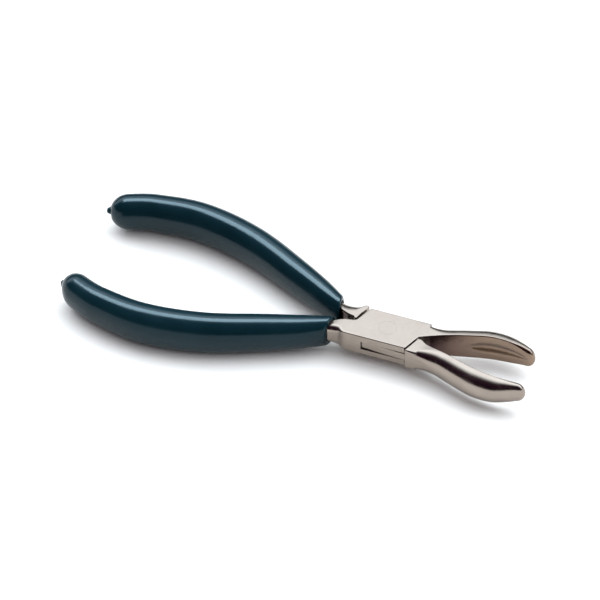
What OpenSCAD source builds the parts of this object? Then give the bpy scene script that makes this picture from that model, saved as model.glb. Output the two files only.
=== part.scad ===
// Ring-holding pliers with a box joint and dipped handles.
// +X runs from the pivot to the jaws, midway between the two halves as drawn.
// +Z is the pivot axis. The origin is on that axis, in the joint's lower flat face.
// The outer half is the slotted one: its handle is on the -Y side and its jaw on the +Y side.

/* [Joint] */
// Thickness of the joint between its two ground faces
joint_t = 7.6; // [7.2:0.1:8]
// Width of the joint across its ground sides
joint_w = 12; // [11.6:0.1:12.2]
// Angle between the two halves' joint blocks as drawn, counted from parallel
drawn_open = 5.2; // [4.8:0.1:5.4]
// Height of the slot in the outer half
slot_h = 3.2; // [2.8:0.1:3.6]
// Radius of the slot's curved inner walls about the pivot
slot_r = 8.8; // [8.75:0.05:8.9]
// Gap over and under the tongue in the slot
slide_gap = 0.06; // [0.04:0.01:0.1]
// Gap between the tongue's curved ends and the slot's curved walls
arc_gap = 0.12; // [0.1:0.01:0.2]

/* [Pivot rivet] */
// Diameter of the shank
rivet_d = 4.2; // [3.6:0.1:4.8]
// Diameter of the ground-off heads
head_d = 5.4; // [5:0.1:6.2]
// Depth of the countersinks that the heads fill
head_h = 0.9; // [0.5:0.1:1.2]
// Radial running clearance of the shank in the tongue
run_gap = 0.04; // [0.02:0.01:0.08]

/* [Handles] */
// Distance from the pivot to the grips' mouths
mouth_x = 16.6; // [16.2:0.1:17]
// Length of the rounding at a grip's closed end
grip_cap = 6; // [5:0.5:7]
// Radius of the drip left at a grip's closed end
nib_r = 1; // [0.8:0.1:1.2]
// Length of that drip
nib_len = 1; // [0.6:0.1:1.4]
// Distance of that drip from the handle's centre line, towards the outside
nib_out = 0.8; // [0:0.1:1]

/* [Jaws] */
// Depth of the long dished groove in each jaw's inner face
groove_depth = 0.9; // [0.4:0.1:1.2]
// Height of that groove
groove_h = 5.4; // [3:0.1:6]
// Distance from the pivot to the groove's closed end
groove_start = 24; // [23:0.5:26]
// Length of the inner half's jaw, as a share of the outer half's
inner_reach = 1.05; // [1:0.01:1.06]
// Angle by which the inner half's jaw leans in at its root
inner_lean = 2.3; // [0:0.1:2.5]

/* [Hidden] */

STEEL = [0.80, 0.78, 0.76];
RIVET = [0.70, 0.68, 0.66];
PVC = [0.05, 0.22, 0.27];

mid_z = joint_t / 2;
block_y = joint_w / 2;
shank_r = rivet_d / 2;
head_r = head_d / 2;
over = 0.5;                       // how far a cutter runs past what it cuts
tongue_h = slot_h - 2 * slide_gap;
tongue_r = slot_r - arc_gap;

// Corners of the outer half's plates. The other three are these turned half a turn about the pivot.
crotch = [-9.7, 0.5];
shoulder = [-7.3, block_y];
flank = [-11.9, -block_y];

// The inner half's shoulders: a straight line at this distance from the pivot, square to this direction.
seat_d = 9.6;
seat_dir = 161.8;
seat_in = -0.3;                   // how far the shoulder reaches towards the other half
neck_in = 1.2;                    // the tongue's neck stops here, to let the pliers close
root_x = 11.9;                    // where the full-thickness blocks end
corner_cut = 0.7;                 // taken off the inner half's outer corners there

// Handle centre line: distance from the pivot, distance from the bisector, half width and
// half height of the grip there.
GRIP = [[12, 2, 3.8, 5.0], [16, 3.95, 3.75, 5.3], [34, 12.0, 4.8, 6.4], [52, 19.2, 5.2, 7.0],
        [70, 22.4, 5.2, 7.1], [85, 20.9, 4.9, 6.7], [92, 18.7, 4.7, 6.4], [98, 15.7, 4.5, 6.1]];
// The steel inside: the same, and the squareness of its section (2 is an ellipse).
CORE = [[10.6, 3.6, 2.6, 3.68, 9], [13, 3.9, 2.4, 3.6, 7], [16.5, 4.1, 2.3, 3.3, 4],
        [22, 6.6, 2.6, 3.6, 3], [34, 12.0, 3.2, 4.4, 2.5], [52, 19.2, 3.4, 4.8, 2.5],
        [70, 22.4, 3.2, 4.6, 2.5], [85, 20.9, 2.8, 4.0, 2.5], [92, 18.7, 2.4, 3.4, 2.5]];
core_end = 91;                    // the steel stops here, inside the grip
cap_start = 93;                   // the grip's end begins to round off here
mouth_slant = -8;                 // direction that a grip's mouth faces, from the pliers' length
mouth_blend = 26;                 // past here a grip's sections are square to the handle again

// Jaw: distance from the pivot, inner face from the bisector, half height, thickness, squareness
JAW = [[10.8, 0.8, 3.7, 5.6, 9], [12, 1.4, 3.78, 5.3, 7], [14, 2.1, 4.0, 4.7, 4.5], [16, 2.8, 4.3, 4.3, 3],
       [20, 4.05, 4.7, 4.3, 2.35], [25, 5.7, 4.85, 4.5, 2.3], [30, 7.1, 4.95, 4.7, 2.3],
       [35, 7.6, 4.65, 4.4, 2.3], [39, 7.4, 3.95, 3.4, 2.3], [42, 6.9, 3.1, 2.4, 2.3],
       [44, 6.6, 2.4, 1.7, 2.3]];
jaw_root = 12;                    // the inner half's jaw is stretched and leans from here
jaw_tip = 43.2;                   // the tip begins to round off here
jaw_cap = 1.1;                    // length of the rounding at the tip

// Where the sections of the steel inside a grip are
HIDDEN_X = [17.6, 19, 21, 23, 26, 30, 34, 39, 44, 50, 56, 62, 68, 74, 79, 84, 88, core_end];

ring_n = 24;                      // points round a handle section
arc_n = 14;                       // spaces round a jaw's outer side
face_n = 8;                       // spaces across a jaw's inner face

// ---- smooth curves through the tables ----

function row_before(T, x, i = 0) = (i >= len(T) - 2 || x < T[i + 1][0]) ? i : row_before(T, x, i + 1);

function slope_at(T, i, c) =
    let (a = max(i - 1, 0), b = min(i + 1, len(T) - 1))
    (T[b][c] - T[a][c]) / (T[b][0] - T[a][0]);

// Column c of table T at distance x, as a cubic through the rows
function at(T, x, c) =
    let (i = row_before(T, x), span = T[i + 1][0] - T[i][0], t = (x - T[i][0]) / span)
    (2 * t ^ 3 - 3 * t ^ 2 + 1) * T[i][c] + (t ^ 3 - 2 * t ^ 2 + t) * span * slope_at(T, i, c)
    + (3 * t ^ 2 - 2 * t ^ 3) * T[i + 1][c] + (t ^ 3 - t ^ 2) * span * slope_at(T, i + 1, c);

// Unit direction of the curve at x, away from the pivot
function along(T, x) =
    let (step = 0.05, rise = (at(T, x + step, 1) - at(T, x - step, 1)) / (2 * step))
    [1, rise] / sqrt(1 + rise ^ 2);

function left_of(d) = [-d[1], d[0]];
function sign_pow(v, p) = sign(v) * abs(v) ^ p;

// ---- sections ----

// Closed rounded section round a point: half width w, half height h, squareness n
function section(p, dir, w, h, n) =
    let (side = left_of(dir))
    [for (k = [0 : ring_n - 1])
        let (f = 360 * k / ring_n, u = w * sign_pow(cos(f), 2 / n), v = h * sign_pow(sin(f), 2 / n))
        [p[0] + side[0] * u, p[1] + side[1] * u, mid_z + v]];

function core_ring(x) =
    section([x, at(CORE, x, 1)], along(CORE, x), at(CORE, x, 2), at(CORE, x, 3), at(CORE, x, 4));

// Direction that a grip's section faces: square to the handle, but slanted towards the mouth
function grip_dir(x) =
    let (t = min(max((x - mouth_x) / (mouth_blend - mouth_x), 0), 1),
         slant = [cos(mouth_slant), sin(mouth_slant)],
         d = along(GRIP, x) * t + slant * (1 - t))
    d / norm(d);

// A grip's outer section, scaled by k and pushed along the handle by d
function grip_ring(x, k = 1, d = 0) =
    let (dir = grip_dir(x))
    section([x, at(GRIP, x, 1)] + dir * d, dir, k * at(GRIP, x, 2), k * at(GRIP, x, 3), 2.1);

// The drip's section, round, at distance d past the grip's end
function nib_ring(r, d) =
    let (dir = along(GRIP, cap_start))
    section([cap_start, at(GRIP, cap_start, 1)] + dir * (grip_cap + d) + left_of(dir) * nib_out,
            dir, r, r, 2);

// Depth of the groove at distance x and height z from the jaw's middle
function groove(x, z) =
    let (length = 18, s = (x - groove_start) / length,
         open = s < 0 || s > 1 ? 0 : sin(180 * s ^ 0.7) ^ 0.6,
         half = groove_h / 2 * max(open, 0.01), w = abs(z) < half ? cos(90 * z / half) : 0)
    groove_depth * open * w;

// A jaw's section: the outer arc from bottom to top, then the inner face from top to bottom.
// The section is scaled by k and pushed along the jaw by d.
function jaw_ring(x, reach, lean, k = 1, d = 0) =
    let (drop = tan(lean), rise = along(JAW, x), dir = [rise[0] * reach, rise[1] - rise[0] * drop],
         ahead = dir / norm(dir), side = left_of(ahead), n = at(JAW, x, 4),
         h = k * at(JAW, x, 2), t = k * at(JAW, x, 3),
         p = [jaw_root + (x - jaw_root) * reach, at(JAW, x, 1) - (x - jaw_root) * drop]
             + ahead * d + side * (1 - k) * at(JAW, x, 3) * 0.4)
    concat(
        [for (i = [0 : arc_n])
            let (f = -90 + 180 * i / arc_n, u = t * abs(cos(f)) ^ (2 / n), v = h * sign_pow(sin(f), 2 / n))
            [p[0] + side[0] * u, p[1] + side[1] * u, mid_z + v]],
        [for (i = [1 : face_n - 1])
            let (v = h * (1 - 2 * i / face_n), g = k * groove(x, v))
            [p[0] + side[0] * g, p[1] + side[1] * g, mid_z + v]]);

// ---- solids swept through rings ----

// The middle of a ring
function middle(r) = [for (c = [0 : 2]) let (all = [for (p = r) p[c]]) (min(all) + max(all)) / 2];

module swept(rings) {
    m = len(rings[0]);
    n = len(rings);
    last = (n - 1) * m;
    sides = [for (i = [0 : n - 2]) for (j = [0 : m - 1])
        let (a = i * m + j, b = i * m + (j + 1) % m)
        each [[a, b + m, b], [a, a + m, b + m]]];
    ends = [for (j = [0 : m - 1]) let (k = (j + 1) % m)
        each [[j, k, n * m], [last + k, last + j, n * m + 1]]];
    polyhedron(points = concat([for (r = rings) each r], [middle(rings[0]), middle(rings[n - 1])]),
               faces = concat(sides, ends));
}

// Moves a shape drawn along +X, +Y to the handle side
module to_handle_side() {
    mirror([1, 0, 0]) children();
}

// ---- steel ----

// Copies a plan shape, and turns the copy half a turn about the pivot
module both_ends() {
    children();
    rotate(180) children();
}

module outer_plan() {
    polygon([crotch, shoulder, -flank, -crotch, -shoulder, flank]);
}

// Where the tongue runs, in plan: a disc, opened towards the inner half's handle and jaw
module slot_plan() {
    circle(r = slot_r, $fn = 96);
    both_ends() translate([-3 * block_y, crotch[1]]) square([3 * block_y, 2 * block_y]);
}

// The full-thickness block at either end of the inner half
module root_plan() {
    across = seat_dir - 180;
    intersection() {
        rotate(seat_dir) translate([seat_d, -2 * block_y]) square([4, 4 * block_y]);
        polygon([[-7, block_y], [-8, seat_in], [-root_x + 1.1, seat_in], [-root_x, block_y - corner_cut],
                 [-root_x + 1.2, block_y - corner_cut], [-root_x + 2.4, block_y]]);
    }
}

module tongue_plan() {
    intersection() {
        circle(r = tongue_r, $fn = 96);
        square([4 * block_y, joint_w], center = true);
    }
    both_ends() polygon([[-6, block_y], [-6, neck_in], [-root_x + 1.3, neck_in], [-root_x + 0.1, block_y]]);
}

module tang() {
    to_handle_side() swept([for (x = concat([10.6, 11.8, 13, 14.2, 15.4], HIDDEN_X)) core_ring(x)]);
}

module jaw(reach = 1, lean = 0) {
    swept(concat(
        [for (x = [10.8, 12, 13, 14, 15, 16, 18, 20, 22, 23.5, 24.5, 25.5, 27, 29, 31, 33, 35, 37, 39, 40.5,
                   42, jaw_tip]) jaw_ring(x, reach, lean)],
        [for (f = [30, 55, 75]) jaw_ring(jaw_tip, reach, lean, cos(f), jaw_cap * sin(f))]));
}

// Slotted half: handle on the -Y side, jaw on the +Y side
module outer_half() {
    color(STEEL) difference() {
        union() {
            rotate(drawn_open / 2) linear_extrude(joint_t) outer_plan();
            mirror([0, 1, 0]) tang();
            jaw();
        }
        rotate(drawn_open / 2) translate([0, 0, mid_z - slot_h / 2]) linear_extrude(slot_h) slot_plan();
        rivet_solid();
    }
}

// Half whose tongue passes through the slot: handle on the +Y side, jaw on the -Y side
module inner_half() {
    color(STEEL) difference() {
        union() {
            rotate(-drawn_open / 2) {
                linear_extrude(joint_t) both_ends() root_plan();
                translate([0, 0, mid_z - tongue_h / 2]) linear_extrude(tongue_h) tongue_plan();
            }
            tang();
            mirror([0, 1, 0]) jaw(inner_reach, inner_lean);
        }
        translate([0, 0, -over]) cylinder(h = joint_t + 2 * over, r = shank_r + run_gap, $fn = 96);
    }
}

// ---- rivet ----

// Shank and two countersunk heads, ground flush with the joint's faces
module rivet_solid() {
    cylinder(h = joint_t, r = shank_r, $fn = 96);
    cylinder(h = head_h, r1 = head_r, r2 = shank_r, $fn = 96);
    translate([0, 0, joint_t - head_h]) cylinder(h = head_h, r1 = shank_r, r2 = head_r, $fn = 96);
}

module pivot_rivet() {
    color(RIVET) rivet_solid();
}

// ---- grips ----

// A dipped sleeve on the handle, closed at its far end, with a drip there and a rolled mouth
module grip() {
    to_handle_side() swept(concat(
        [for (i = [len(HIDDEN_X) - 1 : -1 : 0]) core_ring(HIDDEN_X[i])],
        [grip_ring(mouth_x, 0.88), grip_ring(mouth_x + 0.2, 0.96)],
        [for (x = [mouth_x + 0.7, 18.4, 20, 23, 26, 30, 34, 39, 44, 50, 56, 62, 68, 74, 79, 84, 89, cap_start])
            grip_ring(x)],
        [for (f = [12, 25, 38, 50, 62]) grip_ring(cap_start, cos(f), grip_cap * sin(f))],
        [nib_ring(nib_r, 0), nib_ring(nib_r * 0.9, nib_len * 0.6), nib_ring(nib_r * 0.55, nib_len)]));
}

module outer_grip() {
    color(PVC) mirror([0, 1, 0]) grip();
}

module inner_grip() {
    color(PVC) grip();
}

outer_half();
inner_half();
pivot_rivet();
outer_grip();
inner_grip();
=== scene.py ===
import math

import bmesh
import bpy
from mathutils import Matrix, Vector


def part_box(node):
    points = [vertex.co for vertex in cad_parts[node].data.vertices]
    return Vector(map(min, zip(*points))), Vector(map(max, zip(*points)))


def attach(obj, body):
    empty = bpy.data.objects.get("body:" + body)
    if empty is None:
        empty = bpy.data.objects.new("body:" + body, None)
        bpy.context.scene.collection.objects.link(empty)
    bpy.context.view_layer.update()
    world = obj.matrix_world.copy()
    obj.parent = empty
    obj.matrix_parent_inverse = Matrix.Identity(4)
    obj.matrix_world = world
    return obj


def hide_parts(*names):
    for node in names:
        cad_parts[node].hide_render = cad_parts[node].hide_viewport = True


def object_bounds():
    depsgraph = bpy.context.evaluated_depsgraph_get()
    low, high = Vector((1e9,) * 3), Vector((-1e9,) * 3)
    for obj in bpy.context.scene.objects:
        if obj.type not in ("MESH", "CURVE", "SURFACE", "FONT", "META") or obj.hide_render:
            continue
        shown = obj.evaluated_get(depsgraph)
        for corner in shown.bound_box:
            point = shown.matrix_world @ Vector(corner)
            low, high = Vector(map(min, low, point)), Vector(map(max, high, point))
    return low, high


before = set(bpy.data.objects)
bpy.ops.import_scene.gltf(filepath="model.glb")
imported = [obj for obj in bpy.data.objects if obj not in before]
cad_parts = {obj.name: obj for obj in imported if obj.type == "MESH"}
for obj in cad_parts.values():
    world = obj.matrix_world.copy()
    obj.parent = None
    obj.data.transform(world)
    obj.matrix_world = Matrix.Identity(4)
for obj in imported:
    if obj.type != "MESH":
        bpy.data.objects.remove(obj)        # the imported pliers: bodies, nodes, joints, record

CAD_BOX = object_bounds()

# Lengths are in millimetres until a mesh is made, then in metres.
MM = 0.001


def node_box(name):
    """A CAD node's lowest and highest corners, in mm."""
    low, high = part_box(name)
    return Vector(low) / MM, Vector(high) / MM


rivet_low, rivet_high = node_box("pivot_rivet")
joint_t = rivet_high.z - rivet_low.z
mid_z = (rivet_high.z + rivet_low.z) / 2

# ---- driving dimensions ----

# They follow the CAD's, save that the tongue lies a little deeper, the grooves are shallower, and
# the edges, necks and grips have the finer shape that the photo shows.

BLOCK_TURN = math.radians(2.6)      # half of the angle between the two joint blocks as drawn
BLOCK_Y = 6.0                       # half the joint's width
SLOT_H = 3.2                        # the slot through the outer half
SLOT_R = 8.8
TONGUE_R = 8.38                     # the inner half's tongue, which turns in the slot
TONGUE_IN = 0.2                     # how far its flanks lie inside the block's
TONGUE_GAP = 0.18                   # between its faces and the slot's
TONGUE_EDGE = 0.1
TONGUE_END = 10.9                   # where it ends inside the rest of the inner half
SHANK_R = 2.1                       # the rivet's shank and its countersunk heads
HEAD_R = 2.7
HEAD_H = 0.9
HEAD_EDGE = 0.02
HEAD_GAP = 0.01                     # round a head
RUN_GAP = 0.04                      # between the shank and the tongue's bore

CROTCH = (-9.7, 0.5)                # corners of the outer half's plates, in the block's own frame
SHOULDER = (-7.3, BLOCK_Y)
FLANK = (-11.8, -BLOCK_Y)
SEAT_D = 9.6                        # the inner half's shoulders: distance from the pivot, and direction
SEAT_DIR = math.radians(18.2)
SEAT_IN = 0.3                       # how far its handle, and its jaw, reach past the block's middle
JAW_IN = 0.1

# The inner half's neck, in its block's own frame: places on the outer side, with how far they lie
# inside the flank, places on the inner side, with how far past SEAT_IN, and the outer side's rounding
NECK_OUT = [(-12.3, 0.95), (-11.1, 0.85), (-9.7, 0.1)]
NECK_IN = [(-11.0, -0.5), (-10.7, 0), (-10.45, 0)]
NECK_ROUND = (2.7, 1.7, 0.4)
NECK_FLATNESS = 0.75                # that rounding's height as a share of its width

EDGE = 0.32                         # rounding of the block's long edges
CORNER = 0.28                       # rounding of its corners, in plan
NECK_CORNER = 0.35                  # the same at the inner half's neck and at its jaw's root
ROOT_CORNER = 0.5
END_BEVEL = 0.12                    # bevel of the inner half's two seats

# Handle steel: distance from the pivot, centre line's distance from the bisector, half width,
# half height, rounding on the inner and on the outer side
TANG = [(13.5, 3.53, 2.52, 3.76, 0.3, 1.7), (14.4, 3.68, 2.4, 3.72, 0.45, 1.9),
        (15.6, 3.94, 2.3, 3.58, 0.65, 2.0), (17.4, 4.5, 2.3, 3.32, 0.95, 1.9),
        (22, 6.6, 2.5, 3.5, 1.5, 1.7), (34, 12.0, 3.1, 4.3, 2.0, 2.0),
        (52, 19.2, 3.3, 4.7, 2.3, 2.3), (70, 22.4, 3.1, 4.5, 2.3, 2.3),
        (85, 20.9, 2.7, 3.9, 2.0, 2.0), (91, 19.1, 2.3, 3.3, 1.7, 1.7)]
TANG_STEP = 1.4                     # between its rungs
STEEL_END = 91.0                    # where it ends inside the grip

# Jaw: distance from the pivot, inner face from the bisector, half height, thickness, rounding of the
# outer side as a share of the section, squareness of that rounding
JAW = [(12.9, 1.68, 3.84, 5.0, 0.42, 2.0), (14.2, 2.15, 3.98, 4.7, 0.62, 2.1),
       (16, 2.8, 4.25, 4.4, 0.86, 2.2), (18, 3.4, 4.5, 4.25, 0.98, 2.3),
       (20, 4.05, 4.7, 4.3, 1, 2.3), (25, 5.7, 4.85, 4.5, 1, 2.3),
       (30, 7.1, 4.95, 4.7, 1, 2.3), (35, 7.6, 4.65, 4.4, 1, 2.3),
       (39, 7.4, 4.05, 3.5, 1, 2.3), (42, 6.9, 3.35, 2.7, 1, 2.3),
       (44, 6.6, 2.7, 2.1, 1, 2.3)]
JAW_ROOT = 12.0                     # the reach and lean of a jaw are counted from here
JAW_STEP = 0.6                      # between its rungs
OUTER_TIP = 41.05                   # where a tip's rounding starts
INNER_TIP = 41.6
JAW_CAP = 2.65                      # length of that rounding
TIP_TURNS = (15, 30, 45, 58, 70, 80)    # degrees round a tip at which it has a rung
TIP_MIDDLE = 0.4                    # where it closes, as a share of the thickness from the inner face
CURL_START = 35.0                   # from here a tip curls in, and its inner edges round off
CURL_LEN = 7.0
TIP_EDGE = 0.7
JAW_EDGE = 0.25                     # rounding of a jaw's inner edges

INNER_REACH = 1.05                  # the inner half's jaw: longer by this, and leaning in by this
INNER_LEAN = math.tan(math.radians(2.3))
INNER_CURL = 0.6
INNER_ROUND = 0.9                   # its outer side's rounding at the root
INNER_ROOT = (-11.0, -11.6)         # where it leaves the block, inside and outside
WAIST = 0.5                         # taken off the outer side of the inner half's handle at the joint
WAIST_LEN = 4.5                     # reach of that waist along the handle
SOFTER = 1.6                        # added to the rounding of that side, and the share added upward
SOFTER_UP = 0.3

GROOVE_START = 24.0                 # the dished groove in a jaw's inner face
GROOVE_LEN = 18.0
GROOVE_H = 5.4                      # its height where it is widest
GROOVE_DEPTH = 0.62

# Grip: distance from the pivot, distance from the bisector, half width, half height
GRIP = [(12, 2, 3.8, 5.0), (16, 3.95, 3.75, 5.3), (34, 12.0, 4.8, 6.4), (52, 19.2, 5.2, 7.0),
        (70, 22.4, 5.2, 7.1), (85, 20.9, 4.9, 6.7), (92, 18.7, 4.7, 6.4), (98, 15.7, 4.5, 6.1)]
GRIP_POWER = 2.15                   # squareness of a grip's section
GRIP_TRIM = 0.978                   # keeps the squarer section inside the CAD's
MOUTH_X = 16.6                      # the rolled mouth: its place, its slant, and its rounding
MOUTH_BLEND = 26.0                  # where the slant has died away
MOUTH_SLANT = math.radians(-8)
MOUTH_R = 0.75
BORE_GAP = 0.12                     # between the steel and the bore
BORE_POWER = 3.2                    # squareness of the bore's section
CAP_START = 93.0                    # the domed end
CAP_LEN = 6.0
DRIP_OUT = 0.8                      # the drip on it: distance from the centre line
# How far past the end the drip's rings lie, and their radii
DRIP = [(-0.25, 1.35), (0.1, 1.1), (0.35, 1.0), (0.6, 0.88), (0.8, 0.7), (0.94, 0.42), (0.99, 0.15)]


# ---- curves through the tables ----

def value(table, x, column):
    """A column of a table at distance x, as a cubic through its rows."""
    last = len(table) - 2
    i = 0
    while i < last and x >= table[i + 1][0]:
        i += 1

    def slope(k):
        a, b = max(k - 1, 0), min(k + 1, len(table) - 1)
        return (table[b][column] - table[a][column]) / (table[b][0] - table[a][0])

    span = table[i + 1][0] - table[i][0]
    t = (x - table[i][0]) / span
    return ((2 * t**3 - 3 * t**2 + 1) * table[i][column] + (t**3 - 2 * t**2 + t) * span * slope(i)
            + (3 * t**2 - 2 * t**3) * table[i + 1][column] + (t**3 - t**2) * span * slope(i + 1))


def along(table, x):
    """Unit direction of a table's centre line at x."""
    step = 0.05
    return Vector((2 * step, value(table, x + step, 1) - value(table, x - step, 1))).normalized()


def left_of(d):
    return Vector((-d.y, d.x))


def spaced(start, stop, step):
    n = max(1, math.ceil(abs(stop - start) / step))
    return [start + (stop - start) * k / n for k in range(n + 1)]


def smooth(t):
    t = min(max(t, 0), 1)
    return t * t * (3 - 2 * t)


def turned(p):
    """A point of the outer half's block, in the shared frame."""
    c, s = math.cos(BLOCK_TURN), math.sin(BLOCK_TURN)
    return Vector((p[0] * c - p[1] * s, p[0] * s + p[1] * c))


def opposite(p):
    return (-p[0], -p[1])


# ---- meshes from rings ----

SPOKES = 128            # points round a turned piece
AROUND = 72             # points round a grip


def new_object(name, points, faces, flip=False):
    """A mesh object from points in mm. flip mirrors it across the bisector."""
    side = -1 if flip else 1
    mesh = bpy.data.meshes.new(name)
    mesh.from_pydata([(p[0] * MM, side * p[1] * MM, p[2] * MM) for p in points], [], faces)
    if flip:
        mesh.flip_normals()
    mesh.validate()
    obj = bpy.data.objects.new(name, mesh)
    bpy.context.scene.collection.objects.link(obj)
    return obj


def middle(ring):
    return tuple(sum(p[c] for p in ring) / len(ring) for c in range(3))


def closed_loft(name, rings, flip=False):
    """A closed surface through rings of the same number of points, each end closed by a fan."""
    m, n = len(rings[0]), len(rings)
    points = [p for ring in rings for p in ring]
    faces = [(i * m + j, i * m + (j + 1) % m, (i + 1) * m + (j + 1) % m, (i + 1) * m + j)
             for i in range(n - 1) for j in range(m)]
    for first, ring in ((0, rings[0]), ((n - 1) * m, rings[-1])):
        points.append(middle(ring))
        hub = len(points) - 1
        fan = [(first + (j + 1) % m, first + j, hub) for j in range(m)]
        faces += fan if first == 0 else [f[::-1] for f in fan]
    obj = new_object(name, points, faces, flip)
    outward(obj)
    return obj


def outward(obj):
    """Turns every face of a closed mesh outward."""
    bm = bmesh.new()
    bm.from_mesh(obj.data)
    bmesh.ops.recalc_face_normals(bm, faces=bm.faces)
    bm.to_mesh(obj.data)
    bm.free()


def combine(obj, other, operation):
    """obj with other joined to it, or cut from it. other is used up."""
    mod = obj.modifiers.new(operation, "BOOLEAN")
    mod.operation = operation
    mod.solver = "EXACT"
    mod.object = other
    mesh = bpy.data.meshes.new_from_object(obj.evaluated_get(bpy.context.evaluated_depsgraph_get()))
    obj.modifiers.clear()
    obj.data = mesh
    bpy.data.objects.remove(other)


def prism(name, outline, low, high, bevel=0.0):
    """An upright prism on a plan outline, its long edges bevelled."""
    ring = [Vector(p) for p in outline]
    n = len(ring)

    def inset(d):
        out = []
        for k in range(n):
            a = (ring[k] - ring[k - 1]).normalized()
            b = (ring[(k + 1) % n] - ring[k]).normalized()
            m = (left_of(a) + left_of(b)).normalized()
            out.append(ring[k] + m * d / m.dot(left_of(a)))
        return out

    levels = [(low, 0), (high, 0)]
    if bevel:
        levels = [(low, bevel), (low + bevel, 0), (high - bevel, 0), (high, bevel)]
    points = [(p.x, p.y, z) for z, d in levels for p in inset(d)]
    faces = [(i * n + j, i * n + (j + 1) % n, (i + 1) * n + (j + 1) % n, (i + 1) * n + j)
             for i in range(len(levels) - 1) for j in range(n)]
    faces += [tuple(range(n))[::-1], tuple(range((len(levels) - 1) * n, len(levels) * n))]
    obj = new_object(name, points, faces)
    outward(obj)
    return obj


def lathe(name, profile):
    """A solid of revolution about the pivot from (radius, height) points, with flat ends."""
    n = SPOKES
    turns = [2 * math.pi * k / n for k in range(n)]
    points = [(r * math.cos(a), r * math.sin(a), z) for r, z in profile for a in turns]
    faces = [(i * n + j, i * n + (j + 1) % n, (i + 1) * n + (j + 1) % n, (i + 1) * n + j)
             for i in range(len(profile) - 1) for j in range(n)]
    last = (len(profile) - 1) * n
    faces += [tuple(range(n)), tuple(range(last, last + n))]
    obj = new_object(name, points, faces)
    outward(obj)
    return obj


# ---- rungs: a section between a near and a far point of the plan ----

WALL = 12       # spaces up half of a side
ARC = 12        # spaces round an edge
TOP = 6         # spaces across the flat

# A rung is near x, near y, far x, far y, half height, near rounding across and up, far rounding
# across and up, and the squareness of the far rounding.


def rung(near, far, h, near_r, far_r, near_v=None, far_v=None, power=2.0):
    return (near[0], near[1], far[0], far[1], h, near_r, near_v or near_r, far_r, far_v or far_r, power)


def tang_rung(x, waist=0.0, softer=0.0):
    """The handle's steel on the -Y side, at distance x from the pivot. The far side is the inner one.
    The outer side loses waist at the joint, and softer is added to its rounding."""
    y, w, h = value(TANG, x, 1), value(TANG, x, 2), value(TANG, x, 3)
    r_in, r_out = value(TANG, x, 4), value(TANG, x, 5)
    ahead = along(TANG, x)
    side = Vector((ahead.y, abs(ahead.x)))
    centre = Vector((-x, -y))
    share = 1 - smooth((x - TANG[0][0]) / WAIST_LEN)
    r_out = min(r_out, w)
    return rung(centre - side * (w - waist * share), centre + side * w, h, r_out + softer, min(r_in, w),
                near_v=r_out + softer * SOFTER_UP)


def jaw_rung(x, reach=1.0, lean=0.0, curl=0.0, shrink=1.0, push=0.0):
    """The jaw on the +Y side, whose inner face is the near side. curl brings its tip in."""
    run = along(JAW, x)
    ahead = Vector((run.x * reach, run.y - run.x * lean)).normalized()
    side = left_of(ahead)
    h, t, share, power = (value(JAW, x, c) for c in (2, 3, 4, 5))
    end = smooth((x - CURL_START) / CURL_LEN)
    along_root = x - JAW_ROOT
    p = Vector((JAW_ROOT + along_root * reach, value(JAW, x, 1) - along_root * lean - curl * end))
    p = p + ahead * push + side * (1 - shrink) * t * TIP_MIDDLE
    h, t = h * shrink, t * shrink
    near_r = (JAW_EDGE + TIP_EDGE * end) * shrink
    share = min(share, 1.0)
    return rung(p, p + side * t, h, near_r, share * (t - near_r), far_v=share * h, power=power)


def jaw_rungs(tip, reach=1.0, lean=0.0, curl=0.0):
    out = [jaw_rung(x, reach, lean, curl) for x in spaced(JAW[0][0], tip, JAW_STEP)]
    for turn in TIP_TURNS:
        a = math.radians(turn)
        out.append(jaw_rung(tip, reach, lean, curl, math.cos(a), JAW_CAP * math.sin(a)))
    return out


def groove(x, v):
    """Depth of the dished groove in a jaw's inner face, at distance x and height v."""
    s = (x - GROOVE_START) / GROOVE_LEN
    if not 0 < s < 1:
        return 0.0
    share = math.sin(math.pi * s**0.7) ** 0.6       # most a little over a third of the way along
    half = GROOVE_H / 2 * max(share, 0.01)
    return GROOVE_DEPTH * share * math.cos(math.pi / 2 * v / half) ** 2 if abs(v) < half else 0.0


def section(r, groove_at):
    """The closed ring of a rung. groove_at is the distance that the groove is read at, or None."""
    near, far = Vector(r[0:2]), Vector(r[2:4])
    h, near_r, near_v, far_r, far_v, power = r[4:10]
    width = (far - near).length
    top = []
    for k in range(WALL + 1):
        v = (h - near_v) * k / WALL
        top.append([groove(groove_at, v) if groove_at else 0.0, v])
    for k in range(1, ARC + 1):
        f = math.pi / 2 * k / ARC
        top.append([near_r * (1 - math.cos(f)), h - near_v + near_v * math.sin(f)])
    flat = width - near_r - far_r
    for k in range(1, TOP):
        top.append([near_r + flat * k / TOP, h])
    for k in range(ARC + 1):
        f = math.pi / 2 * (1 - k / ARC)
        top.append([width - far_r * (1 - abs(math.cos(f)) ** (2 / power)),
                    h - far_v + far_v * math.sin(f) ** (2 / power)])
    for k in range(1, WALL + 1):
        top.append([width, (h - far_v) * (1 - k / WALL)])
    ring = top + [[u, -v] for u, v in top[-2:0:-1]]
    across = (far - near) / width
    return [(near.x + across.x * u, near.y + across.y * u, mid_z + v) for u, v in ring]


FINE_STEP = 0.6         # between a ladder's rings
COARSE_STEP = 2.5       # between them where the grip hides the steel
COARSE_TO = -20.0       # x where that ends
LEAST_STEP = 0.03
BEND = math.radians(9)  # a corner of the plan gets rings of its own from here
BEND_RINGS = (-1.3, -1, -0.6, -0.3, 0, 0.3, 0.6, 1, 1.3)


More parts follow.
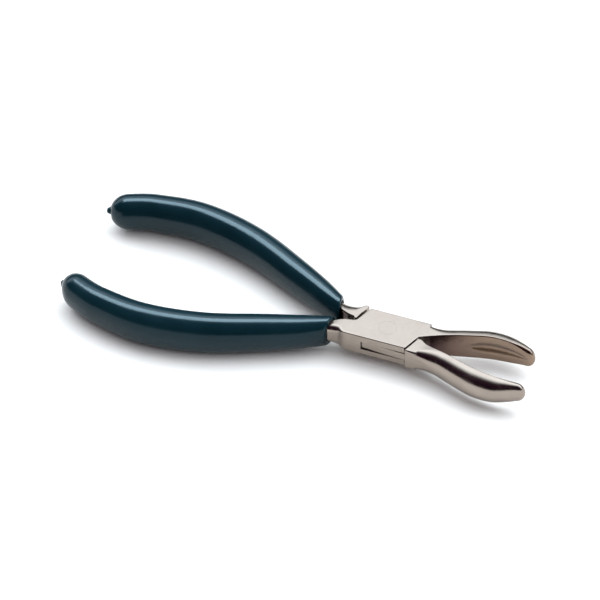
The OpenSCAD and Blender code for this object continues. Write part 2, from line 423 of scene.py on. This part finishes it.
def ladder(name, rungs, reach=CORNER, groove_on=False, cap=None, flip=False):
    """A loft along rungs. The plan's corners are rounded by averaging over a short reach."""
    s = [0.0]
    for a, b in zip(rungs, rungs[1:]):
        s.append(s[-1] + max(math.dist(a[0:2], b[0:2]), math.dist(a[2:4], b[2:4])))

    def raw(t):
        t = min(max(t, 0.0), s[-1])
        k = 0
        while k < len(s) - 2 and t > s[k + 1]:
            k += 1
        f = (t - s[k]) / (s[k + 1] - s[k])
        return [a + (b - a) * f for a, b in zip(rungs[k], rungs[k + 1])]

    def at(t):
        d = min(reach, t, s[-1] - t)
        if d <= 0:
            return raw(t)
        rows = [raw(t + d * share) for share in spaced(-1, 1, 0.25)]
        weights = [1] + [2] * (len(rows) - 2) + [1]
        return [sum(w * v for w, v in zip(weights, column)) / sum(weights) for column in zip(*rows)]

    def bends(k, c):
        a = Vector(rungs[k][c:c + 2]) - Vector(rungs[k - 1][c:c + 2])
        b = Vector(rungs[k + 1][c:c + 2]) - Vector(rungs[k][c:c + 2])
        return a.length > 1e-6 and b.length > 1e-6 and a.angle(b) > BEND

    stations = set()
    for k in range(len(s) - 1):
        gap = COARSE_STEP if rungs[k + 1][0] < COARSE_TO else FINE_STEP
        stations.update(round(t, 3) for t in spaced(s[k], s[k + 1], gap))
    for k in range(1, len(s) - 1):
        if bends(k, 0) or bends(k, 2):
            stations.update(round(s[k] + reach * q, 3) for q in BEND_RINGS)
    order = sorted(t for t in stations if 0 <= t <= s[-1])
    kept = [order[0]]
    for t in order[1:]:
        if t - kept[-1] > LEAST_STEP:
            kept.append(t)
    if kept[-1] != order[-1]:
        kept[-1] = round(s[-1], 3)
    rings = []
    for t in kept:
        r = at(t)
        rings.append(section(r, r[0] if groove_on and r[0] > GROOVE_START else None))
    if cap:
        rings = cap(rings)
    return closed_loft(name, rings, flip)


# ---- finish of a mesh ----

HARD_EDGE = math.radians(32)


def finish_mesh(obj):
    """Smooth shading with the hard edges kept, and flat faces that shade flat."""
    obj.data.shade_smooth()
    obj.data.set_sharp_from_angle(angle=HARD_EDGE)
    mod = obj.modifiers.new("normals", "WEIGHTED_NORMAL")
    mod.keep_sharp = True
    mod.weight = 80


# ---- steel ----

def between(a, b, f):
    """A rung on the way from a to b. It goes evenly along the handle, and the rest of it eases."""
    shares = (f, smooth(f), f) + (smooth(f),) * (len(a) - 3)
    return tuple(p + (q - p) * share for p, q, share in zip(a, b, shares))


def outer_half():
    h = joint_t / 2
    # The block's corners, from the handle to the jaw.
    near = [turned(FLANK), turned(opposite(SHOULDER)), turned(opposite(CROTCH))]
    far = [turned(CROTCH), turned(SHOULDER), turned(opposite(FLANK))]
    # The handle's inner side comes in just short of the block's first corner.
    inner_foot = Vector((far[0].x - 0.7, TANG[0][2] - TANG[0][1] + 0.5))
    jaw_foot = Vector(jaw_rung(JAW[0][0])[0:2])

    rungs = [tang_rung(x) for x in spaced(STEEL_END, TANG[0][0], TANG_STEP)]
    neck, foot = rungs[-1], rung(near[0], inner_foot, h, EDGE, EDGE)
    rungs += [between(neck, foot, f) for f in (0.2, 0.4, 0.6, 0.8)]
    rungs.append(foot)
    # Where one side turns a corner, the rungs fan out from the other side.
    block = [(near[0].lerp(near[1], 0.06), far[0]), (near[0].lerp(near[1], 0.22), far[1]),
             (near[1], far[2].lerp(far[1], 0.22)), (near[2], far[2].lerp(far[1], 0.05)),
             (near[2].lerp(jaw_foot, 0.35), far[2])]
    rungs += [rung(p, q, h, EDGE, EDGE) for p, q in block]
    rungs += jaw_rungs(OUTER_TIP)
    obj = ladder("outer_half_steel", rungs, groove_on=True)
    combine(obj, slot_cutter(), "DIFFERENCE")
    combine(obj, rivet_bore(), "DIFFERENCE")
    return obj


def arc(radius, start, stop, n):
    """Points round the pivot, from start to stop degrees."""
    turns = [math.radians(start + (stop - start) * k / n) for k in range(n + 1)]
    return [(radius * math.cos(a), radius * math.sin(a)) for a in turns]


def slot_cutter():
    """Where the tongue runs: a disc, opened towards the inner half's handle and jaw."""
    low = math.degrees(math.asin(CROTCH[1] / SLOT_R))
    wide = 3 * BLOCK_Y
    outline = arc(SLOT_R, 180 - low, 270, 48) + [(wide, -SLOT_R), (wide, -CROTCH[1])]
    outline += arc(SLOT_R, -low, 90, 48) + [(-wide, SLOT_R), (-wide, CROTCH[1])]
    outline = [turned(p) for p in outline]
    return prism("slot", outline, mid_z - SLOT_H / 2, mid_z + SLOT_H / 2)


def rivet_shape():
    """A shank with two countersunk heads, flush with the joint's faces."""
    z0, z1 = mid_z - joint_t / 2, mid_z + joint_t / 2
    return lathe("rivet", [(HEAD_R - HEAD_EDGE, z0), (HEAD_R, z0 + HEAD_EDGE), (SHANK_R, z0 + HEAD_H),
                           (SHANK_R, z1 - HEAD_H), (HEAD_R, z1 - HEAD_EDGE), (HEAD_R - HEAD_EDGE, z1)])


def rivet_bore():
    """The hole that the rivet fills, run out past both faces."""
    z0, z1 = mid_z - joint_t / 2, mid_z + joint_t / 2
    over = 0.5
    wide = HEAD_R + HEAD_GAP + (HEAD_R - SHANK_R) / HEAD_H * over
    return lathe("bore", [(wide, z0 - over), (SHANK_R, z0 + HEAD_H), (SHANK_R, z1 - HEAD_H),
                          (wide, z1 + over)])


def seat(y):
    """x of the inner half's shoulder at y, in its block's frame, handle side."""
    return -(SEAT_D + math.sin(SEAT_DIR) * y) / math.cos(SEAT_DIR)


def flat_cap(rings):
    """Ends a ladder's last ring with a narrow bevel."""
    last, hub = rings[-1], Vector(middle(rings[-1]))
    before = [Vector(p).lerp(Vector(q), 0.3) for p, q in zip(last, rings[-2])]
    bevel = [Vector(p) + (hub - Vector(p)).normalized() * END_BEVEL for p in last]
    return rings[:-1] + [[tuple(p) for p in ring] for ring in (before, bevel)]


def flat_start(rings):
    return flat_cap(rings[::-1])[::-1]


def inner_half():
    """Built on the outer half's side and mirrored."""
    h = joint_t / 2
    near = [turned((x, y - BLOCK_Y)) for x, y in NECK_OUT + [(seat(-BLOCK_Y), 0)]]
    far = [turned((x, y + SEAT_IN)) for x, y in NECK_IN + [(seat(SEAT_IN), 0)]]
    rungs = [tang_rung(x, WAIST, SOFTER) for x in spaced(STEEL_END, TANG[0][0], TANG_STEP)]
    rungs += [rung(p, q, h, r, EDGE, near_v=r * NECK_FLATNESS)
              for p, q, r in zip(near, far, NECK_ROUND + (EDGE,))]
    obj = ladder("inner_half_steel", rungs, reach=NECK_CORNER, cap=flat_cap, flip=True)

    near = [turned(opposite((x, JAW_IN))) for x in (seat(JAW_IN), INNER_ROOT[0])]
    far = [turned(opposite((x, -BLOCK_Y))) for x in (seat(-BLOCK_Y), INNER_ROOT[1])]
    rungs = [rung(p, q, h, EDGE, r) for p, q, r in zip(near, far, (EDGE, INNER_ROUND))]
    rungs += jaw_rungs(INNER_TIP, INNER_REACH, INNER_LEAN, INNER_CURL)
    jaw = ladder("inner_jaw", rungs, reach=ROOT_CORNER, groove_on=True, cap=flat_start, flip=True)
    combine(obj, tongue(), "UNION")
    combine(obj, jaw, "UNION")
    bore = lathe("bore", [(SHANK_R + RUN_GAP, mid_z - joint_t), (SHANK_R + RUN_GAP, mid_z + joint_t)])
    combine(obj, bore, "DIFFERENCE")
    return obj


def tongue():
    """A disc with two flats, with a root into the inner half's handle and one into its jaw."""
    neck, root_in = 1.2, 0.5        # how far a root reaches past the middle, and lies inside the flat
    flank = BLOCK_Y - TONGUE_IN
    side = math.degrees(math.asin(flank / TONGUE_R))
    tip = math.degrees(math.asin(neck / TONGUE_R))
    flat_end = 0.25 - seat(-BLOCK_Y)
    outline = []
    for sign, start in ((1, 180), (-1, 0)):
        outline += [(-sign * TONGUE_END, sign * neck)] + arc(TONGUE_R, start - tip, start + side, 40)
        outline += [(sign * flat_end, -sign * flank),
                    (sign * (flat_end + 0.3), -sign * (flank - root_in)),
                    (sign * TONGUE_END, -sign * (flank - root_in))]
    half = SLOT_H / 2 - TONGUE_GAP
    return prism("tongue", outline, mid_z - half, mid_z + half, bevel=TONGUE_EDGE)


# ---- grips ----

def ellipse(centre, ahead, w, h, power):
    """An upright ring square to ahead. power 2 is an ellipse, and more is squarer."""
    side = left_of(ahead)
    ring = []
    for k in range(AROUND):
        a = 2 * math.pi * k / AROUND
        u = w * math.copysign(abs(math.cos(a)) ** (2 / power), math.cos(a))
        v = h * math.copysign(abs(math.sin(a)) ** (2 / power), math.sin(a))
        ring.append((centre.x + side.x * u, centre.y + side.y * u, mid_z + v))
    return ring


def grip_dir(x):
    """Unit direction of the grip at x, slanted at its mouth."""
    t = min(max((x - MOUTH_X) / (MOUTH_BLEND - MOUTH_X), 0), 1)
    slant = Vector((math.cos(MOUTH_SLANT), math.sin(MOUTH_SLANT)))
    return (along(GRIP, x) * t + slant * (1 - t)).normalized()


def grip_ring(x, inset=0.0, scale=1.0, push=0.0):
    ahead = grip_dir(x)
    w, h = value(GRIP, x, 2) * GRIP_TRIM, value(GRIP, x, 3) * GRIP_TRIM
    centre = Vector((x, value(GRIP, x, 1))) + ahead * push
    return ellipse(centre, ahead, (w - inset) * scale, (h - inset) * scale, GRIP_POWER)


def bore_ring(x):
    """Just outside the steel, so that the two surfaces stay apart."""
    ahead = along(TANG, x)
    w, h = value(TANG, x, 2), value(TANG, x, 3)
    return ellipse(Vector((x, value(TANG, x, 1))), ahead, w + BORE_GAP, h + BORE_GAP, BORE_POWER)


def grip(name, flip):
    """A dipped sleeve: down the bore, round the rolled mouth, along the outside, and round the domed
    end to its drip."""
    rings = [bore_ring(x) for x in spaced(STEEL_END + 0.6, MOUTH_X + 1.2, 3)]
    for turn in (-80, -60, -40, -20, 0, 20, 40, 60, 80, 90):
        a = math.radians(turn)
        x = MOUTH_X + MOUTH_R * (1 - math.cos(a))
        rings.append(grip_ring(x, inset=MOUTH_R * (1 - math.sin(a))))
    rings += [grip_ring(x) for x in spaced(MOUTH_X + MOUTH_R + 0.3, CAP_START, 0.8)]
    for turn in range(5, 75, 5):
        a = math.radians(turn)
        rings.append(grip_ring(CAP_START, scale=math.cos(a), push=CAP_LEN * math.sin(a)))
    ahead = along(GRIP, CAP_START)
    foot = Vector((CAP_START, value(GRIP, CAP_START, 1))) + left_of(ahead) * DRIP_OUT
    rings += [ellipse(foot + ahead * (CAP_LEN + d), ahead, r, r, power=2) for d, r in DRIP]
    rings = [[(-p[0], p[1], p[2]) for p in ring] for ring in rings]
    return closed_loft(name, rings, flip)


# ---- materials ----

class Nodes:
    """Short names for building a node tree."""

    def __init__(self, name):
        self.material = bpy.data.materials.new(name)
        self.material.use_nodes = True
        self.tree = self.material.node_tree
        self.tree.nodes.clear()
        self.out = self.tree.nodes.new("ShaderNodeOutputMaterial")
        self.shader = self.add("ShaderNodeBsdfPrincipled")
        self.link(self.shader, "BSDF", self.out, "Surface")
        self.place = self.add("ShaderNodeTexCoord")

    def add(self, kind, **settings):
        node = self.tree.nodes.new(kind)
        for key, item in settings.items():
            setattr(node, key, item)
        return node

    def link(self, a, a_out, b, b_in):
        self.tree.links.new(a.outputs[a_out], b.inputs[b_in])

    def scaled(self, x, y, z):
        """Object coordinates in units of a millimetre, stretched by x, y, z."""
        node = self.add("ShaderNodeMapping")
        node.inputs["Scale"].default_value = (x / MM, y / MM, z / MM)
        self.link(self.place, "Object", node, "Vector")
        return node

    def noise(self, scale, detail=3.0, rough=0.55, stretch=(1, 1, 1)):
        node = self.add("ShaderNodeTexNoise")
        node.inputs["Scale"].default_value = 1.0
        node.inputs["Detail"].default_value = detail
        node.inputs["Roughness"].default_value = rough
        self.link(self.scaled(*(scale * k for k in stretch)), "Vector", node, "Vector")
        return node

    def ramp(self, source, output, stops):
        node = self.add("ShaderNodeValToRGB")
        ramp = node.color_ramp
        while len(ramp.elements) < len(stops):
            ramp.elements.new(0.5)
        for element, (where, colour) in zip(ramp.elements, stops):
            element.position = where
            element.color = (*colour, 1)
        self.link(source, output, node, "Fac")
        return node

    def spread(self, source, output, low, high, start, stop):
        """A value mapped from start..stop to low..high."""
        node = self.add("ShaderNodeMapRange")
        for key, item in (("From Min", start), ("From Max", stop), ("To Min", low), ("To Max", high)):
            node.inputs[key].default_value = item
        self.link(source, output, node, "Value")
        return node

    def maths(self, operation, a, a_out, b=None, b_out=None):
        node = self.add("ShaderNodeMath", operation=operation)
        self.tree.links.new(a.outputs[a_out], node.inputs[0])
        if b is not None:
            self.tree.links.new(b.outputs[b_out], node.inputs[1])
        return node

    def tint(self, a, a_out, b, b_out):
        """Colour a multiplied by b."""
        node = self.add("ShaderNodeMix", data_type="RGBA", blend_type="MULTIPLY")
        self.tree.links.new(a.outputs[a_out], node.inputs["A"])
        self.tree.links.new(b.outputs[b_out], node.inputs["B"])
        return node

    def bump(self, source, output, distance, before=None):
        """Relief of distance mm, over that of before."""
        node = self.add("ShaderNodeBump")
        node.inputs["Strength"].default_value = 1.0
        node.inputs["Distance"].default_value = distance * MM
        self.link(source, output, node, "Height")
        if before:
            self.link(before, "Normal", node, "Normal")
        return node


STEEL_DARK = (0.275, 0.231, 0.197)
STEEL_PALE = (0.320, 0.272, 0.233)
STEEL_ROUGH = 0.2
LINES = (0.6, 14, 14)               # the grinding's lines run along the tool
# Painted shade and painted reflection on the inner faces, from the joint to the tips: dark by the
# joint, browner further out
INNER_FACE_SHADE = [(0.0, (0.26, 0.17, 0.21)), (0.35, (0.58, 0.46, 0.44)), (1.0, (0.88, 0.75, 0.65))]
PVC_DARK = (0.0028, 0.0145, 0.020)
PVC_PALE = (0.0045, 0.020, 0.027)
PVC_SHEEN = (0.70, 0.92, 1.0)
FLOOR_DARK = (0.95, 0.895, 0.835)
FLOOR_PALE = (0.965, 0.91, 0.85)


def steel_material(name):
    """Ground and polished tool steel: fine lines, faint smudges, and duller ground flats."""
    n = Nodes(name)
    n.shader.inputs["Metallic"].default_value = 1.0
    smudge = n.noise(0.16, detail=5, rough=0.6)
    fine = n.noise(1.0, detail=4, rough=0.7, stretch=LINES)
    speck = n.noise(2.2, detail=2)
    colour = n.ramp(smudge, "Fac", [(0.3, STEEL_DARK), (0.62, STEEL_PALE)])
    lined = n.tint(colour, "Color", fine, "Fac")
    lined.inputs["Factor"].default_value = 0.12
    # The inner faces get painted shade and painted reflection over the steel's colour.
    n.link(paint_inner_face_shade(n, lined), "Result", n.shader, "Base Color")
    flat = n.add("ShaderNodeNewGeometry")
    split = n.add("ShaderNodeSeparateXYZ")
    n.link(flat, "True Normal", split, "Vector")
    upright = n.maths("ABSOLUTE", split, "Z")
    ground = n.spread(upright, "Value", 0.0, 0.12, 0.97, 0.995)
    patch = n.spread(smudge, "Fac", STEEL_ROUGH - 0.03, STEEL_ROUGH + 0.05, 0.3, 0.7)
    total = n.maths("ADD", ground, "Result", patch, "Result")
    grain = n.spread(fine, "Fac", -0.05, 0.07, 0.3, 0.7)
    total = n.maths("ADD", total, "Value", grain, "Result")
    n.link(total, "Value", n.shader, "Roughness")
    b = n.bump(fine, "Fac", 0.0035)
    b = n.bump(speck, "Fac", 0.002, before=b)
    n.link(b, "Normal", n.shader, "Normal")
    return n.material


def paint_inner_face_shade(n, before):
    """Painted shade and painted reflection on the inner faces: browner, and dark towards the joint."""
    place = n.add("ShaderNodeSeparateXYZ")
    n.link(n.scaled(1, 1, 1), "Vector", place, "Vector")
    facing = n.add("ShaderNodeSeparateXYZ")
    n.link(n.place, "Normal", facing, "Vector")
    across = n.maths("MULTIPLY", place, "Y", facing, "Y")
    inward = n.spread(across, "Value", 1.0, 0.0, -1.6, -0.4)
    out = n.maths("ABSOLUTE", place, "X")
    past = n.spread(out, "Value", 0.0, 1.0, 9.8, 10.6)
    share = n.maths("MULTIPLY", inward, "Result", past, "Result")
    depth = n.spread(out, "Value", 0.0, 1.0, 13, 29)
    tone = n.ramp(depth, "Result", INNER_FACE_SHADE)
    toned = n.tint(before, "Result", tone, "Color")
    n.link(share, "Value", toned, "Factor")
    return toned


def pvc_material():
    """Dipped PVC: glossy, a little uneven in colour and surface as the dip dried."""
    n = Nodes("dipped_pvc")
    cloud = n.noise(0.07, detail=4, rough=0.55)
    peel = n.noise(0.55, detail=2, rough=0.5)
    dust = n.noise(3.5, detail=3, rough=0.65)
    colour = n.ramp(cloud, "Fac", [(0.3, PVC_DARK), (0.7, PVC_PALE)])
    n.link(colour, "Color", n.shader, "Base Color")
    gloss = n.spread(cloud, "Fac", 0.13, 0.21, 0.3, 0.7)
    grain = n.spread(dust, "Fac", -0.02, 0.05, 0.35, 0.75)
    total = n.maths("ADD", gloss, "Result", grain, "Result")
    n.link(total, "Value", n.shader, "Roughness")
    n.shader.inputs["Specular IOR Level"].default_value = 0.22
    n.shader.inputs["Specular Tint"].default_value = (*PVC_SHEEN, 1)
    b = n.bump(peel, "Fac", 0.02)
    b = n.bump(dust, "Fac", 0.002, before=b)
    n.link(b, "Normal", n.shader, "Normal")
    return n.material


def floor_material():
    """A pale matt sheet, very slightly uneven."""
    n = Nodes("pale_floor")
    mottle = n.noise(0.004, detail=3)
    colour = n.ramp(mottle, "Fac", [(0.3, FLOOR_DARK), (0.7, FLOOR_PALE)])
    n.link(colour, "Color", n.shader, "Base Color")
    n.shader.inputs["Roughness"].default_value = 0.9
    n.shader.inputs["Specular IOR Level"].default_value = 0.1
    return n.material


# ---- assembly ----

def set_piece(obj, material, body, node):
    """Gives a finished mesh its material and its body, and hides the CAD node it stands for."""
    obj.data.materials.clear()
    obj.data.materials.append(material)
    for face in obj.data.polygons:
        face.material_index = 0
    finish_mesh(obj)
    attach(obj, body)
    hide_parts(node)
    return obj


steel = steel_material("ground_steel")
rivet_steel = steel_material("rivet_steel")
pvc = pvc_material()

set_piece(outer_half(), steel, "outer_lever", "outer_half")
set_piece(inner_half(), steel, "inner_lever", "inner_half")
set_piece(rivet_shape(), rivet_steel, "outer_lever", "pivot_rivet")
outer_sleeve = set_piece(grip("outer_grip_pvc", True), pvc, "outer_lever", "outer_grip")
inner_sleeve = set_piece(grip("inner_grip_pvc", False), pvc, "inner_lever", "inner_grip")


# ---- stage ----

def plane(name, size, z):
    half = size / 2
    mesh = bpy.data.meshes.new(name)
    corners = [(-half, -half, z), (half, -half, z), (half, half, z), (-half, half, z)]
    mesh.from_pydata(corners, [], [(0, 1, 2, 3)])
    obj = bpy.data.objects.new(name, mesh)
    bpy.context.scene.collection.objects.link(obj)
    return obj


floor = plane("floor", 12.0, CAD_BOX[0].z)
floor.data.materials.append(floor_material())

AZIMUTH = math.radians(22.07)
ELEVATION = math.radians(47.7)
DISTANCE = 1.128                    # from the camera to the pivot
SENSOR = 36.0                       # its width, the lens and the next values are in mm
LENS = 227.4
PIVOT_AT = (5.262, -2.196)          # where the pivot falls, right of and above the sensor's centre

right = Vector((math.cos(AZIMUTH), math.sin(AZIMUTH), 0))
back = Vector((math.sin(AZIMUTH) * math.cos(ELEVATION), -math.cos(AZIMUTH) * math.cos(ELEVATION),
               math.sin(ELEVATION)))
up = back.cross(right)
pivot = Vector((0, 0, mid_z * MM))


def make_camera():
    """Stands at the photo's angle, turned a little so that the pivot falls where it should."""
    data = bpy.data.cameras.new("camera")
    data.sensor_width = SENSOR
    data.lens = LENS
    data.clip_start, data.clip_end = 0.05, 50
    cam = bpy.data.objects.new("camera", data)
    bpy.context.scene.collection.objects.link(cam)
    cam.location = pivot + back * DISTANCE
    axes = Matrix((right, up, back)).transposed()
    ray = Vector((-PIVOT_AT[0], -PIVOT_AT[1], -LENS)).normalized()
    aim = Vector((0, 0, -1)).rotation_difference(ray)
    cam.rotation_mode = "QUATERNION"
    cam.rotation_quaternion = (axes @ aim.to_matrix()).to_quaternion()
    bpy.context.scene.camera = cam


def softbox(name, azimuth, elevation, distance, size, power, colour):
    """A rectangular area light aimed at the joint. Its azimuth is counted as the camera's is."""
    a, e = math.radians(azimuth), math.radians(elevation)
    away = Vector((math.sin(a) * math.cos(e), -math.cos(a) * math.cos(e), math.sin(e)))
    data = bpy.data.lights.new(name, "AREA")
    data.shape = "RECTANGLE"
    data.size, data.size_y = size
    data.energy = power
    data.color = colour
    obj = bpy.data.objects.new(name, data)
    obj.location = pivot + away * distance
    obj.rotation_mode = "QUATERNION"
    obj.rotation_quaternion = away.to_track_quat("Z", "Y")
    bpy.context.scene.collection.objects.link(obj)
    return obj


def collection(name, *objects):
    group = bpy.data.collections.new(name)
    for obj in objects:
        group.objects.link(obj)
    return group


COOL = (0.82, 0.91, 1.0)
PALE_COOL = (0.86, 0.93, 1.0)
PLUM = (1.0, 0.28, 0.78)
# The sky's brightness and colour, by the angle in degrees from the horizon beyond the pliers, over the
# top, to the horizon behind the camera
SKY = [(0, 0.05, COOL), (20, 0.15, COOL), (34, 0.5, COOL), (41, 2.2, COOL), (46, 4.2, COOL),
       (60, 4.2, COOL), (74, 3.6, COOL), (86, 2.2, COOL), (97, 0.5, COOL), (110, 0.05, PLUM),
       (180, 0.015, PLUM)]
SKY_PEAK = 4.2
SKY_TURN = math.radians(-20)        # the sky's bright side, from straight beyond towards the right


def make_world():
    """A soft sky, bright high up beyond the pliers and dark on the camera's side."""
    world = bpy.data.worlds.new("studio")
    world.use_nodes = True
    tree = world.node_tree
    sky = tree.nodes["Background"]
    place = tree.nodes.new("ShaderNodeTexCoord")
    turn = AZIMUTH + SKY_TURN
    away = Vector((-math.sin(turn), math.cos(turn), 0))

    def part(axis):
        node = tree.nodes.new("ShaderNodeVectorMath")
        node.operation = "DOT_PRODUCT"
        node.inputs[1].default_value = axis
        tree.links.new(place.outputs["Generated"], node.inputs[0])
        return node.outputs["Value"]

    over = tree.nodes.new("ShaderNodeMath")
    over.operation = "ARCTAN2"
    tree.links.new(part(Vector((0, 0, 1))), over.inputs[0])
    tree.links.new(part(away), over.inputs[1])
    share = tree.nodes.new("ShaderNodeMath")
    share.operation = "DIVIDE"
    share.inputs[1].default_value = math.pi
    tree.links.new(over.outputs[0], share.inputs[0])
    ramp = tree.nodes.new("ShaderNodeValToRGB")
    tree.links.new(share.outputs[0], ramp.inputs["Fac"])
    stops = ramp.color_ramp
    while len(stops.elements) < len(SKY):
        stops.elements.new(0.5)
    for element, (angle, strength, colour) in zip(stops.elements, SKY):
        element.position = angle / 180
        element.color = (*(c * strength / SKY_PEAK for c in colour), 1)
    tree.links.new(ramp.outputs["Color"], sky.inputs["Color"])
    sky.inputs["Strength"].default_value = SKY_PEAK
    bpy.context.scene.world = world


make_camera()
make_world()
# A strip beyond the pliers draws the long highlight on the grips, and a wide box over them lights the
# floor without showing in the steel.
strip = softbox("strip", azimuth=math.degrees(AZIMUTH) + 180, elevation=70, distance=2.5,
                size=(3.0, 1.25), power=205, colour=COOL)
strip.visible_diffuse = False
strip.light_linking.receiver_collection = collection("grips", outer_sleeve, inner_sleeve)
key = softbox("key", azimuth=math.degrees(AZIMUTH), elevation=76, distance=5.0,
              size=(6.5, 6.5), power=165, colour=PALE_COOL)
key.visible_glossy = False
bpy.context.scene.view_settings.view_transform = "Standard"
